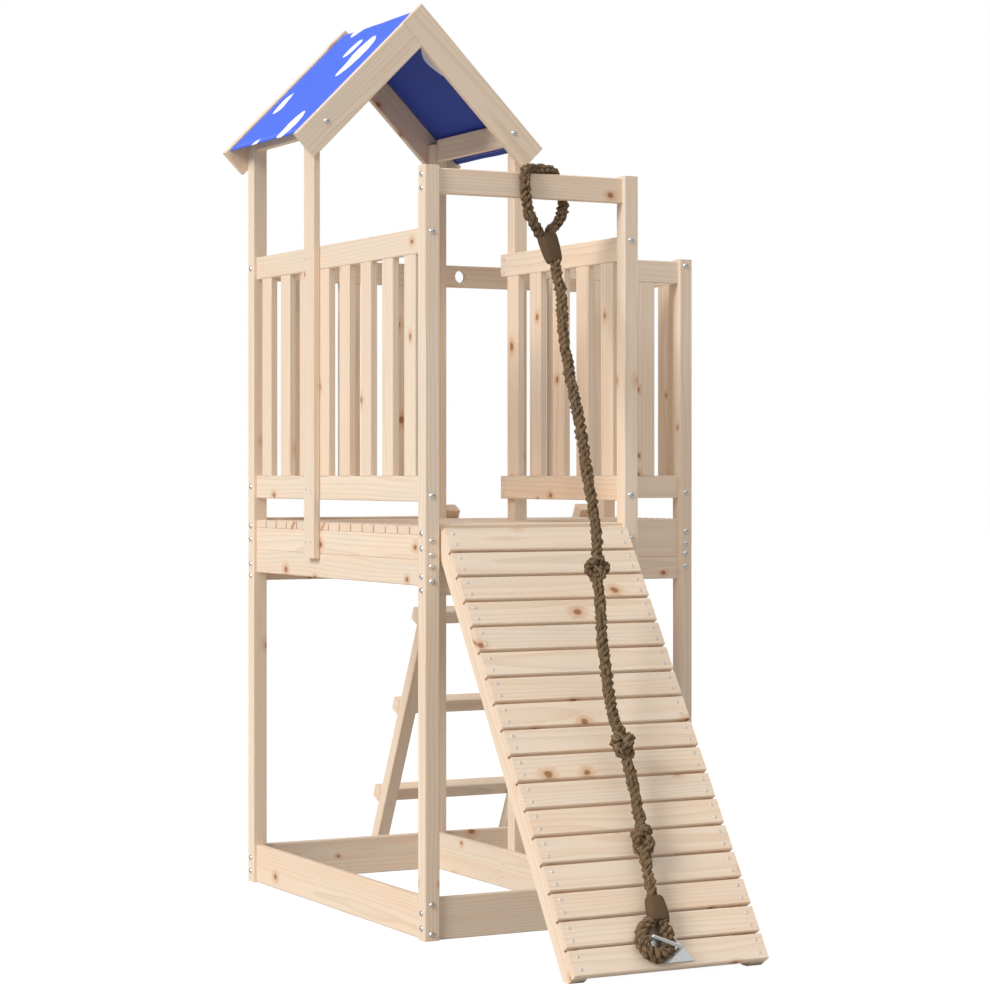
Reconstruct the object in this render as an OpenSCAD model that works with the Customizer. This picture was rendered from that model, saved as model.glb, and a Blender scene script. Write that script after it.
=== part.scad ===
// Wooden climbing frame: a roofed tower with a railed balcony, a plank ramp with a rope and a ladder.
// Millimetres, +Z up. The ramp is at the front and faces -Y. The origin is under the middle of the box.

/* [Timber] */
// Side of a square post, stringer or rung
post = 36; // [32:1:50]
// Thickness of the boards
board_t = 18; // [14:1:22]
// Width of rails, beams and planks
board_h = 56; // [48:1:66]
// Width of a railing slat
slat_w = 55; // [40:1:60]
// Height of the ground boards
base_h = 92; // [60:1:120]
// Bevel along the long edges of all timber
arris = 2; // [1:0.5:3]

/* [Tower] */
// Width of the tower over its posts
tower_w = 536; // [480:1:600]
// Depth of the tower over its posts
tower_d = 1000; // [940:1:1060]
// Height of the front posts above the top rails
front_post_over = 134; // [90:1:180]
// Distance of the rope's crossbar below the tops of the front posts
crossbar_drop = 5; // [0:1:20]
// Reach of the left upright below the planks
upright_lap = 66; // [50:1:100]

/* [Balcony] */
// Width of the balcony beyond the tower
balcony_w = 501.5; // [460:0.5:560]
// Distance of the balcony's front from the tower's front
balcony_y = 578; // [560:1:590]
// Height of the balcony's posts above the top rails
balcony_post_over = 5; // [0:1:60]

/* [Deck] */
// Walking height of the deck
deck_top = 899; // [860:1:930]
// Gap between planks that the deck and the ramp aim for
plank_gap = 6.3; // [5:0.1:9]
// How far the tower's headers stand above the planks
header_lip = 6; // [0:1:12]
// Height of a header's upper board
header_upper_h = 100; // [80:1:120]
// Gap where two rows of planks meet on the middle beam
plank_end_gap = 2; // [1:0.5:4]

/* [Railing] */
// Gap between the deck and the bottom rails
rail_foot_gap = 54; // [40:1:80]
// Length of a slat, from rail to rail
slat_len = 486; // [420:1:540]
// Gap from a panel's end to its first slat on the sides
slat_end_gap = 33; // [20:1:45]
// Number of slats on the left side
side_slat_n = 8; // [6:1:9]
// Number of slats in the inner panel
inner_slat_n = 5; // [4:1:6]
// Number of slats on the balcony's right side
balcony_side_n = 3; // [2:1:4]
// Number of slats in the back panel
back_slat_n = 3; // [2:1:4]
// Number of slats in the balcony's front panel
balcony_slat_n = 3; // [2:1:4]
// Diameter of the round hole in the grab rail
grab_hole_d = 32; // [20:1:36]
// Distance of that hole from the tower
grab_hole_x = 45; // [30:1:80]

/* [Roof] */
// Height of the eave beams above the top rails
eave_over = 265; // [200:1:320]
// Width of a rafter
rafter_w = 72; // [60:1:90]
// Reach of the rafter tips beyond the posts, level
eave_overhang = 61; // [40:1:90]
// Height of the rafters' ridge above the canopy's underside
rafter_proud = 11; // [6:1:24]
// Thickness of the canopy's fabric
canopy_t = 2; // [1:0.5:3]
// Distance of the canopy's hem from the rafter tips
hem_inset = 6; // [2:1:12]
// Room left between post tops and the canopy
canopy_room = 2; // [1:0.5:6]

/* [Ramp] */
// Slope of the ramp from level
ramp_angle = 56.6; // [56:0.1:59]
// Height of the ramp's lower edge above the ground
ramp_toe_z = 19; // [11:0.5:26]
// Distance of the ramp's top edge below the deck
ramp_drop = 3; // [0:1:12]
// Room from a ramp plank's end to the post beside it
ramp_side_gap = 3.5; // [2:0.5:10]

/* [Ladder] */
// Lean of the ladder from upright
ladder_lean = 25.7; // [22:0.1:28]
// Height of the ladder's top above the deck
ladder_over = 35; // [20:1:80]
// Width of the ladder over its stringers
ladder_w = 429; // [400:1:440]
// Room between the ladder and the back middle post
ladder_side_gap = 11; // [4:1:20]
// Depth of the notch that seats a stringer on the deck's header
ladder_seat = 4; // [2:0.5:6]
// Number of rungs
rung_n = 3; // [2:1:3]
// Distance of the first rung from a stringer's top
rung_first = 318; // [290:1:340]
// Spacing of the rungs
rung_pitch = 273.5; // [255:0.5:280]

/* [Rope] */
// Diameter of the rope
rope_d = 23; // [18:1:24]
// Diameter of a knot
knot_d = 52; // [40:1:60]
// Width of a rope sleeve
sleeve_w = 50; // [48:1:56]
// Thickness of a rope sleeve
sleeve_t = 27; // [26:1:32]
// Length of a rope sleeve
sleeve_len = 66; // [50:1:80]
// Diameter of the steel bar of the anchor
bail_d = 8; // [6:0.5:10]
// Thickness of the anchor's plate
anchor_t = 3; // [2:0.5:4]

/* [Fasteners] */
// Diameter of a bolt head
bolt_d = 14; // [8:0.5:16]
// Height of a bolt head
bolt_h = 4; // [2:0.5:6]

/* [Hidden] */
$fn = 48;
wood = [0.87, 0.72, 0.54];
fabric = [0.13, 0.25, 0.85];
hemp = [0.34, 0.25, 0.17];
steel = [0.78, 0.79, 0.8];

// Boards stand in the middle of the posts.
recess = (post - board_t) / 2;
front_y = recess;
back_post_y = tower_d - post;
back_y = back_post_y + recess;
right_post_x = tower_w - post;
inner_x = right_post_x + recess;
middle_x = inner_x + board_t;
balcony_right = tower_w + balcony_w;
balcony_post_x = balcony_right - post;
balcony_x = balcony_post_x + recess;
balcony_board_y = balcony_y + recess;
balcony_back_y = balcony_y + post;

deck_under = deck_top - board_t;
beam_z = deck_under - 2 * board_h;
header_upper_z = deck_top + header_lip - header_upper_h;
header_lower_z = header_upper_z - board_h;
balcony_upper_h = deck_top - header_upper_z;
plank_seam = inner_x + board_t / 2;
function plank_n(span) = round((span + plank_gap) / (board_h + plank_gap));
function plank_pitch(span) = (span - board_h) / (plank_n(span) - 1);
tower_span = back_post_y - post;
balcony_span = back_post_y - balcony_back_y;

rail_bottom_z = deck_top + rail_foot_gap;
slat_z = rail_bottom_z + board_h;
rail_top_z = slat_z + slat_len;
rail_end_z = rail_top_z + board_h;
front_post_h = rail_end_z + front_post_over;
balcony_post_h = rail_end_z + balcony_post_over;
crossbar_z = front_post_h - crossbar_drop - board_h;

ridge_x = tower_w / 2;
eave_z = rail_end_z + eave_over;
rafter_run = ridge_x + eave_overhang;
gable_front_y = balcony_y - board_t;
rafter_len = rafter_run * sqrt(2);
hem_run = rafter_run - hem_inset;
// The canopy lies on the outer top bevels of the eave beams.
canopy_ridge = eave_z + board_h - arris + ridge_x - recess;
ridge_z = canopy_ridge + rafter_proud;
function canopy_under(x) = canopy_ridge - abs(x - ridge_x);
back_post_h = canopy_under(0) - canopy_room;
middle_post_h = canopy_under(middle_x + post) - canopy_room;
upright_x = recess - board_t;
upright_top = canopy_under(upright_x) - canopy_room;
upright_z = deck_under - upright_lap;

ramp_top_z = deck_top - ramp_drop;
ramp_len = (ramp_top_z - ramp_toe_z) / sin(ramp_angle);
ramp_x = post + ramp_side_gap;
ramp_w = right_post_x - post - 2 * ramp_side_gap;
ramp_reach = post + board_t;
// The first plank's lower corner stands just in front of the posts.
ramp_top_y = -board_t * sin(ramp_angle);
ramp_toe_y = ramp_top_y - ramp_len * cos(ramp_angle);

header_back = back_y + board_t;
ladder_foot = header_back - ladder_seat + deck_top * tan(ladder_lean) + post / cos(ladder_lean);
ladder_x = tower_w + ladder_side_gap;
ladder_len = (deck_top + ladder_over) / cos(ladder_lean);

mid_x = (balcony_right + bolt_h + ridge_x - rafter_run) / 2;

// Rope run from the upper sleeve to the lower one.
rope_path = [
  [319, 5, 1505], [319, -10, 1460], [313, -42, 1400], [308, -80, 1320], [306, -112, 1240],
  [303, -137, 1170], [301, -160, 1100], [298, -182, 1030], [295, -204, 955], [292, -224, 885],
  [289, -244, 812], [286, -270, 735], [283, -297, 655], [280, -324, 580], [277, -353, 510],
  [274, -382, 448], [270, -425, 355], [265, -475, 263], [259, -513, 192], [253, -544, 138]
];
knot_at = [10, 15, 17];
bar_top = crossbar_z + board_h;
bar_front = front_y;
bar_back = front_y + board_t;
rope_r = rope_d / 2;
strand = rope_d / 2 + 0.3;
// Upper eye, once round the crossbar.
top_eye = [
  [290, 12, 1546], [268, 3, 1570], [254, -2, 1592], [249, bar_front - strand, 1612],
  [245, bar_front - strand, crossbar_z + 12], [244, bar_front - strand, crossbar_z + 40],
  [248, bar_front - strand + 1, bar_top + 4], [262, bar_front + 2, bar_top + strand],
  [290, bar_front + 9, bar_top + strand], [320, bar_back - 2, bar_top + strand],
  [338, bar_back + strand - 1, bar_top + 4], [350, bar_back + strand, bar_top - 18],
  [362, bar_back + strand, crossbar_z + 10], [367, bar_back + strand - 4, 1610],
  [360, 30, 1594], [342, 24, 1574], [320, 18, 1552]
];
// Lower eye in ramp terms: across, up from the toe and out from the face.
eye_flat = anchor_t + strand;
low_eye = [
  [240, 101, 23], [228, 91, 19], [214, 81, eye_flat], [203, 68, eye_flat], [199, 53, eye_flat],
  [203, 37, eye_flat], [214, 25, eye_flat], [232, 20, eye_flat], [248, 24, eye_flat],
  [260, 36, eye_flat], [265, 53, eye_flat], [263, 69, 16], [260, 85, 19], [260, 99, 23]
];
sleeve_top = [[308, 17, 1548], [321, 0, 1483]];
sleeve_low = [[253, -537, 155], [251, -563.5, 108]];
bail_a = [215, 52];
bail_b = [271, 24];
bail_top = anchor_t + rope_d + bail_d / 2 + 14;
bail_reach = bail_top * sin(ramp_angle) + bail_d / 2;
front_reach = ramp_toe_y + bail_b[1] * cos(ramp_angle) - bail_reach;
mid_y = (ladder_foot + min(front_reach, ramp_toe_y)) / 2;
plate = [[226, 9], [319, 9], [283, 72], [203, 72]];

// Sizes run from the tower's front left corner; this moves them to the origin.
module stand() translate([-mid_x, -mid_y, 0]) children();

module bar(low, high) translate(low) cube(high - low);

// Cross-section of a board with bevelled corners.
module section(w, h) polygon([[arris, 0], [w - arris, 0], [w, arris], [w, h - arris],
  [w - arris, h], [arris, h], [0, h - arris], [0, arris]]);

// Board between two corners; its length, and so its bevels, run along its longest side.
module plank(low, high) {
  s = high - low;
  if (s.z >= max(s.x, s.y)) translate(low) linear_extrude(height = s.z) section(s.x, s.y);
  else if (s.y >= s.x)
    translate([low.x, high.y, low.z]) rotate([90, 0, 0]) linear_extrude(height = s.y) section(s.x, s.z);
  else translate(low) rotate([90, 0, 90]) linear_extrude(height = s.x) section(s.y, s.z);
}

module timber(low, high) color(wood) stand() plank(low, high);

module upright_post(x, y, h) timber([x, y, 0], [x + post, y + post, h]);

// A board along the depth of the frame, and one along its width.
module board_y(x, y0, y1, z, h) timber([x, y0, z], [x + board_t, y1, z + h]);
module board_x(y, x0, x1, z, h) timber([x0, y, z], [x1, y + board_t, z + h]);

module pair_y(x, y0, y1) {
  board_y(x, y0, y1, beam_z, board_h);
  board_y(x, y0, y1, beam_z + board_h, board_h);
}

module pair_x(y, x0, x1, upper_h) {
  board_x(y, x0, x1, header_lower_z, board_h);
  board_x(y, x0, x1, header_upper_z, upper_h);
}

// Slats on a side panel, from its front end to its back end.
module slats_y(x, y0, y1, n) {
  pitch = (y1 - y0 - 2 * slat_end_gap - slat_w) / (n - 1);
  for (i = [0 : n - 1]) {
    y = y0 + slat_end_gap + i * pitch;
    board_y(x, y, y + slat_w, slat_z, slat_len);
  }
}

// Slats with equal gaps across a panel.
module slats_x(y, x0, x1, n) {
  gap = (x1 - x0 - n * slat_w) / (n + 1);
  for (i = [0 : n - 1]) {
    x = x0 + gap + i * (slat_w + gap);
    board_x(y, x, x + slat_w, slat_z, slat_len);
  }
}

module post_front_left() upright_post(0, 0, front_post_h);
module post_front_right() upright_post(right_post_x, 0, front_post_h);
module post_back_left() upright_post(0, back_post_y, back_post_h);
module post_back_middle() upright_post(right_post_x, back_post_y, back_post_h);
module post_middle() upright_post(middle_x, balcony_y, middle_post_h);
module post_balcony_front() upright_post(balcony_post_x, balcony_y, balcony_post_h);
module post_balcony_back() upright_post(balcony_post_x, back_post_y, balcony_post_h);

module left_upright() timber([upright_x, balcony_y, upright_z], [recess, balcony_y + board_h, upright_top]);
module crossbar() board_x(front_y, post, right_post_x, crossbar_z, board_h);

module base_left() board_y(recess, post, back_post_y, 0, base_h);
module base_front() board_x(front_y, post, right_post_x, 0, base_h);
module base_inner() board_y(inner_x, post, back_post_y, 0, base_h);
module base_back() board_x(back_y, post, right_post_x, 0, base_h);
module base_balcony_back() board_x(back_y, tower_w, balcony_post_x, 0, base_h);
module base_balcony_right() board_y(balcony_x, balcony_back_y, back_post_y, 0, base_h);
module base_balcony_front() board_x(balcony_board_y, middle_x + post, balcony_post_x, 0, base_h);

module deck_beam_left() pair_y(recess, post, back_post_y);
module deck_beam_middle() pair_y(inner_x, post, back_post_y);
module deck_beam_right() pair_y(balcony_x, balcony_back_y, back_post_y);
module header_front() pair_x(front_y, post, right_post_x, header_upper_h);
module header_back() pair_x(back_y, post, right_post_x, header_upper_h);
module header_balcony_front() pair_x(balcony_board_y, middle_x + post, balcony_post_x, balcony_upper_h);
module header_balcony_back() pair_x(back_y, tower_w, balcony_post_x, balcony_upper_h);

module tower_planks() {
  for (i = [0 : plank_n(tower_span) - 1]) {
    y = post + i * plank_pitch(tower_span);
    timber([recess, y, deck_under], [plank_seam - plank_end_gap / 2, y + board_h, deck_top]);
  }
}

module balcony_planks() {
  for (i = [0 : plank_n(balcony_span) - 1]) {
    y = balcony_back_y + i * plank_pitch(balcony_span);
    timber([plank_seam + plank_end_gap / 2, y, deck_under], [balcony_x + board_t, y + board_h, deck_top]);
  }
}

module rail_left_top() board_y(recess, post, back_post_y, rail_top_z, board_h);
module rail_left_bottom() board_y(recess, post, back_post_y, rail_bottom_z, board_h);
module slats_left() slats_y(recess, post, back_post_y, side_slat_n);
module rail_back_top() board_x(back_y, post, right_post_x, rail_top_z, board_h);
module rail_back_bottom() board_x(back_y, post, right_post_x, rail_bottom_z, board_h);
module slats_back() slats_x(back_y, post, right_post_x, back_slat_n);
module rail_inner_top() board_y(inner_x, post, balcony_back_y, rail_top_z, board_h);
module rail_inner_bottom() board_y(inner_x, post, balcony_back_y, rail_bottom_z, board_h);
module slats_inner() slats_y(inner_x, post, balcony_back_y, inner_slat_n);

module balcony_rail(z) board_x(balcony_board_y, middle_x + post, balcony_post_x, z, board_h);
module rail_balcony_front_top() balcony_rail(rail_top_z);
module rail_balcony_front_bottom() balcony_rail(rail_bottom_z);
module slats_balcony_front() slats_x(balcony_board_y, middle_x + post, balcony_post_x, balcony_slat_n);
module rail_balcony_right_top() board_y(balcony_x, balcony_back_y, back_post_y, rail_top_z, board_h);
module rail_balcony_right_bottom() board_y(balcony_x, balcony_back_y, back_post_y, rail_bottom_z, board_h);
module slats_balcony_right() slats_y(balcony_x, balcony_back_y, back_post_y, balcony_side_n);

module grab_rail() {
  color(wood) stand() difference() {
    plank([tower_w, back_y, rail_top_z], [balcony_post_x, header_back, rail_end_z]);
    translate([tower_w + grab_hole_x, back_y - 1, rail_top_z + board_h / 2])
      rotate([-90, 0, 0]) cylinder(d = grab_hole_d, h = board_t + 2);
  }
}

// A rafter runs down at 45 degrees from the ridge; the left one stops against the right one.
module rafter_at(y, turn) color(wood) stand()
  translate([ridge_x, y, ridge_z]) rotate([0, turn, 0]) children();
module rafter_left(y) rafter_at(y, 135) plank([rafter_w, 0, 0], [rafter_len, board_t, rafter_w]);
module rafter_right(y) rafter_at(y, 45) plank([0, 0, -rafter_w], [rafter_len, board_t, 0]);

module rafter_front_left() rafter_left(gable_front_y);
module rafter_front_right() rafter_right(gable_front_y);
module rafter_back_left() rafter_left(tower_d);
module rafter_back_right() rafter_right(tower_d);
module eave_beam_left() board_y(recess, balcony_y, back_post_y, eave_z, board_h);
module eave_beam_right() board_y(inner_x, balcony_y, back_post_y, eave_z, board_h);

module canopy() {
  rise = canopy_t * sqrt(2);
  color(fabric) stand() translate([ridge_x, tower_d, canopy_ridge]) rotate([90, 0, 0])
    linear_extrude(height = tower_d - balcony_y)
      polygon([[-hem_run, -hem_run], [0, 0], [hem_run, -hem_run],
        [hem_run, rise - hem_run], [0, rise], [-hem_run, rise - hem_run]]);
}

// Ramp terms: x across, y up the slope from the toe, z out from the walking face.
module on_ramp() stand() translate([0, ramp_toe_y, ramp_toe_z]) rotate([ramp_angle, 0, 0]) children();

module ramp_planks() {
  color(wood) on_ramp() for (i = [0 : plank_n(ramp_len) - 1]) {
    u = i * plank_pitch(ramp_len);
    plank([ramp_x, u, -board_t], [ramp_x + ramp_w, u + board_h, 0]);
  }
}

// A stringer ends square with the last plank and stands on its lower corner, which is cut level.
module ramp_stringer(x) {
  color(wood) intersection() {
    on_ramp() plank([x, 0, -ramp_reach], [x + post, ramp_len + 200, -board_t]);
    stand() bar([x - 1, ramp_toe_y - 100, 0], [x + post + 1, front_y, ramp_top_z]);
  }
}

module ramp_stringer_left() ramp_stringer(ramp_x);
module ramp_stringer_right() ramp_stringer(ramp_x + ramp_w - post);

// Ladder terms: y out from the stringers' outer face, z up along them.
module on_ladder() stand() translate([0, ladder_foot, 0]) rotate([ladder_lean, 0, 0]) children();

module ladder_stringer(x) {
  color(wood) difference() {
    on_ladder() plank([x, -post, -post], [x + post, 0, ladder_len]);
    stand() bar([x - 1, ladder_foot - 200, -100], [x + post + 1, ladder_foot + 100, 0]);
    stand() bar([x - 1, back_y - 50, beam_z], [x + post + 1, header_back, deck_top]);
  }
}

module ladder_stringer_left() ladder_stringer(ladder_x);
module ladder_stringer_right() ladder_stringer(ladder_x + ladder_w - post);

module ladder_rungs() {
  color(wood) on_ladder() for (i = [0 : rung_n - 1]) {
    z = ladder_len - rung_first - i * rung_pitch;
    plank([ladder_x, 0, z - post], [ladder_x + ladder_w, post, z]);
  }
}

// Tube along a list of points, with a frame carried along from point to point.
function unit(v) = v / norm(v);
function along(p, i) = unit(p[min(i + 1, len(p) - 1)] - p[max(i - 1, 0)]);
function across(v, t) = unit(v - (v * t) * t);
function sides(p, start) = [for (i = 0, n = across(start, along(p, 0)); i < len(p);
  i = i + 1, n = across(n, along(p, min(i, len(p) - 1)))) n];

module tube(p, r, start, fn = 10) {
  m = len(p);
  n = sides(p, start);
  ring = [for (i = [0 : m - 1]) let (b = cross(along(p, i), n[i])) for (k = [0 : fn - 1])
    p[i] + r * cos(360 * k / fn) * n[i] + r * sin(360 * k / fn) * b];
  wall = [for (i = [0 : m - 2]) for (k = [0 : fn - 1]) let (a = i * fn + k, b = i * fn + (k + 1) % fn)
    each [[a, a + fn, b], [b, a + fn, b + fn]]];
  first = [for (k = [1 : fn - 2]) [0, k, k + 1]];
  last = [for (k = [1 : fn - 2]) [(m - 1) * fn, (m - 1) * fn + k + 1, (m - 1) * fn + k]];
  polyhedron(points = ring, faces = concat(wall, first, last));
}

module rope() color(hemp) stand() tube(rope_path, rope_r, [1, 0, 0]);

module rope_eyes() {
  color(hemp) {
    stand() tube(top_eye, rope_r, [0, 1, 0]);
    on_ramp() tube(low_eye, rope_r, [0, 0, 1]);
  }
}

module sleeve(a, b) {
  d = b - a;
  turn = atan2(d[1], d[0]);
  translate((a + b) / 2) rotate([0, acos(d[2] / norm(d)), turn]) rotate(turn)
    translate([0, 0, -sleeve_len / 2]) linear_extrude(height = sleeve_len) {
      square([sleeve_w - sleeve_t, sleeve_t], center = true);
      for (s = [-1, 1]) translate([s * (sleeve_w - sleeve_t) / 2, 0]) circle(d = sleeve_t);
    }
}

module rope_sleeves() {
  color(hemp) stand() {
    sleeve(sleeve_top[0], sleeve_top[1]);
    sleeve(sleeve_low[0], sleeve_low[1]);
  }
}

module rope_knots() {
  color(hemp) stand() for (k = knot_at) translate(rope_path[k]) sphere(d = knot_d);
}

// Plate with a bent bar over it; the lower eye runs under the bar.
module rope_anchor() {
  span = norm(bail_b - bail_a);
  turn = atan2(bail_b[1] - bail_a[1], bail_b[0] - bail_a[0]);
  color(steel) on_ramp() union() {
    linear_extrude(height = anchor_t) polygon(plate);
    translate([bail_a[0], bail_a[1], 0]) rotate(turn) {
      for (x = [0, span]) translate([x, 0, anchor_t / 2]) cylinder(d = bail_d, h = bail_top - anchor_t / 2);
      translate([0, 0, bail_top]) rotate([0, 90, 0]) cylinder(d = bail_d, h = span);
      for (x = [0, span]) translate([x, 0, bail_top]) sphere(d = bail_d);
    }
  }
}

// Low domed head on a face; the head points out along the face's normal.
module bolt_head() {
  dome_r = (bolt_d * bolt_d / 4 + bolt_h * bolt_h) / (2 * bolt_h);
  rotate_extrude() intersection() {
    translate([0, bolt_h - dome_r]) circle(dome_r);
    square([bolt_d / 2, bolt_h]);
  }
}

module bolt_front(x, y, zs) for (z = zs) translate([x, y, z]) rotate([90, 0, 0]) bolt_head();
module bolt_back(x, y, zs) for (z = zs) translate([x, y, z]) rotate([-90, 0, 0]) bolt_head();
module bolt_left(x, y, zs) for (z = zs) translate([x, y, z]) rotate([0, -90, 0]) bolt_head();
module bolt_right(x, y, zs) for (z = zs) translate([x, y, z]) rotate([0, 90, 0]) bolt_head();

module bolts() {
  half = post / 2;
  rail_z = [rail_top_z + 45, rail_bottom_z + 13];
  beam_bolts = [beam_z + 11, beam_z + 43, beam_z + board_h + 12, beam_z + 2 * board_h - 13];
  base_bolts = [14, base_h - 14];
  cross_base = [26, 59];
  header_bolts = [header_lower_z + 11, header_lower_z + 41, header_upper_z + 46, header_upper_z + 79];
  eave_bolt = [eave_z + board_h / 2];
  bar_bolts = [crossbar_z + 10, crossbar_z + 41];
  cross_rails = [rail_top_z + 28, rail_bottom_z + 28];
  color(steel) stand() {
    bolt_front(half, 0, concat(rail_z, beam_bolts, base_bolts));
    bolt_front(right_post_x + half, 0, concat(rail_z, beam_bolts, base_bolts));
    bolt_front(balcony_post_x + half, balcony_y, concat(rail_z, beam_bolts, base_bolts));
    bolt_back(half, tower_d, concat(rail_z, beam_bolts, base_bolts));
    bolt_back(right_post_x + half, tower_d, concat(beam_bolts, base_bolts));
    bolt_back(balcony_post_x + half, tower_d, concat(rail_z, beam_bolts, base_bolts));
    bolt_left(0, half, concat(header_bolts, cross_base, bar_bolts));
    bolt_left(0, back_post_y + half, concat(header_bolts, cross_base, cross_rails));
    bolt_right(tower_w, half, concat(header_bolts, cross_base, bar_bolts));
    bolt_right(balcony_right, balcony_y + half, concat(header_bolts, cross_base, cross_rails));
    bolt_right(balcony_right, back_post_y + half, concat(header_bolts, cross_base, [rail_top_z + 28]));
    bolt_front(recess + board_t / 2, gable_front_y, eave_bolt);
    bolt_front(inner_x + board_t / 2, gable_front_y, eave_bolt);
    bolt_back(recess + board_t / 2, tower_d + board_t, eave_bolt);
    bolt_back(inner_x + board_t / 2, tower_d + board_t, eave_bolt);
  }
}

post_front_left();
post_front_right();
post_back_left();
post_back_middle();
post_middle();
post_balcony_front();
post_balcony_back();
left_upright();
crossbar();
base_left();
base_front();
base_inner();
base_back();
base_balcony_back();
base_balcony_right();
base_balcony_front();
deck_beam_left();
deck_beam_middle();
deck_beam_right();
header_front();
header_back();
header_balcony_front();
header_balcony_back();
tower_planks();
balcony_planks();
rail_left_top();
rail_left_bottom();
slats_left();
rail_back_top();
rail_back_bottom();
slats_back();
rail_inner_top();
rail_inner_bottom();
slats_inner();
rail_balcony_front_top();
rail_balcony_front_bottom();
slats_balcony_front();
rail_balcony_right_top();
rail_balcony_right_bottom();
slats_balcony_right();
grab_rail();
rafter_front_left();
rafter_front_right();
rafter_back_left();
rafter_back_right();
eave_beam_left();
eave_beam_right();
canopy();
ramp_planks();
ramp_stringer_left();
ramp_stringer_right();
ladder_stringer_left();
ladder_stringer_right();
ladder_rungs();
rope();
rope_eyes();
rope_sleeves();
rope_knots();
rope_anchor();
bolts();
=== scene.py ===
import math

import bmesh
import bpy
from mathutils import Matrix, Vector, noise


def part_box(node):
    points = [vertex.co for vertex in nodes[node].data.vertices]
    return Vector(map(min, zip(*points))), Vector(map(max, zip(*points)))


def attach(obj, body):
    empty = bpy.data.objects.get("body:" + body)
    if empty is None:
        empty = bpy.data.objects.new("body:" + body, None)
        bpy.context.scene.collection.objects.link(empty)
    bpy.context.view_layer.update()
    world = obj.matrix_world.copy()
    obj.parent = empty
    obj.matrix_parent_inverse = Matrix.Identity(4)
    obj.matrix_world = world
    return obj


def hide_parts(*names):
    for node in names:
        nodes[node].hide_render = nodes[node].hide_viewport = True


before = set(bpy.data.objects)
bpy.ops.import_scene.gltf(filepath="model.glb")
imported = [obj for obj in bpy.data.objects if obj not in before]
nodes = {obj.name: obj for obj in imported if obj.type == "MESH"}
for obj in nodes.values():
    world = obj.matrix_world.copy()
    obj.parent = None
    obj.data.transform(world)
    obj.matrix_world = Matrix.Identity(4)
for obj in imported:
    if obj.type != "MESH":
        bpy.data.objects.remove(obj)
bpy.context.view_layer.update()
scene = bpy.context.scene
towerCorner = Vector((-0.49025, -0.419394, 0.0))  # front left corner of the tower, on the ground
print("frame:", len(nodes), "nodes")

rampFrame = {"toe": (-593.302, 19), "angle": math.radians(56.6), "pitch": 62.156, "planks": 17, "left": 39.5,
             "width": 457}
ladderFrame = {"foot": 1459.612, "lean": math.radians(25.7), "length": 1036.54, "firstRung": 318, "rungPitch": 273.5}


def fromCorner(x, y, z):
    return Vector((x, y, z)) / 1000 + towerCorner


def onRamp(x, up, out):  # across, up the slope from the toe, out from the walking face
    c, s = math.cos(rampFrame["angle"]), math.sin(rampFrame["angle"])
    y, z = rampFrame["toe"]
    return fromCorner(x, y + up * c - out * s, z + up * s + out * c)


def onLadder(x, out, up):  # across, out from the stringers' outer face, up along them
    c, s = math.cos(ladderFrame["lean"]), math.sin(ladderFrame["lean"])
    return fromCorner(x, ladderFrame["foot"] + out * c - up * s, out * s + up * c)


# camera, light and floor

view = {"place": (-3.07285, -5.672594, 1.0152), "heading": -27.663, "lens": 98.27, "shift": -0.022}


def addCamera():
    lens = bpy.data.cameras.new("camera")
    lens.lens, lens.sensor_width, lens.shift_y = view["lens"], 36, view["shift"]
    cam = bpy.data.objects.new("camera", lens)
    cam.location = view["place"]
    cam.rotation_euler = (math.radians(90), 0, math.radians(view["heading"]))
    scene.collection.objects.link(cam)
    scene.camera = cam


class Wire:
    def __init__(self, tree, socket=None):
        self.tree, self.socket = tree, socket

    def node(self, kind, settings=None, inputs=None, out=0):
        made = self.tree.nodes.new("ShaderNode" + kind)
        for key, value in (settings or {}).items():
            setattr(made, key, value)
        for key, value in (inputs or {}).items():
            if isinstance(value, Wire):
                self.tree.links.new(value.socket, made.inputs[key])
            else:
                made.inputs[key].default_value = value
        return Wire(self.tree, made.outputs[out] if made.outputs else None)

    def also(self, name):  # another output of the same node
        return Wire(self.tree, self.socket.node.outputs[name])

    def calc(self, operation, *others):
        return self.node("Math", {"operation": operation}, dict(enumerate((self, *others))))

    def __add__(self, other): return self.calc("ADD", other)
    def __radd__(self, other): return self.calc("ADD", other)
    def __sub__(self, other): return self.calc("SUBTRACT", other)
    def __rsub__(self, other): return self.calc("MULTIPLY_ADD", -1.0, other)
    def __mul__(self, other): return self.calc("MULTIPLY", other)
    def __rmul__(self, other): return self.calc("MULTIPLY", other)
    def __truediv__(self, other): return self.calc("DIVIDE", other)
    def __pow__(self, other): return self.calc("POWER", other)

    def rise(self, low, high):  # 0 at low to 1 at high, with soft ends
        return self.node("MapRange", {"interpolation_type": "SMOOTHSTEP"},
                         {"Value": self, "From Min": low, "From Max": high})

    def between(self, first, second):  # colour from first at 0 to second at 1
        first, second = [c if isinstance(c, Wire) else (*c, 1) for c in (first, second)]
        return self.node("Mix", {"data_type": "RGBA"}, {0: self, 6: first, 7: second}, out=2)

    def split(self):
        parts = self.node("SeparateXYZ", None, {0: self})
        return parts, parts.also("Y"), parts.also("Z")

    def join(self, x, y, z):
        return self.node("CombineXYZ", None, {0: x, 1: y, 2: z})

    def cloud(self, where, scale, detail=2.0, rough=0.5):
        return self.node("TexNoise", None,
                         {"Vector": where, "Scale": scale, "Detail": detail, "Roughness": rough})


def newMaterial(name):
    mat = bpy.data.materials.new(name)
    mat.use_nodes = True
    mat.node_tree.nodes.clear()
    return mat, Wire(mat.node_tree)


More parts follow.
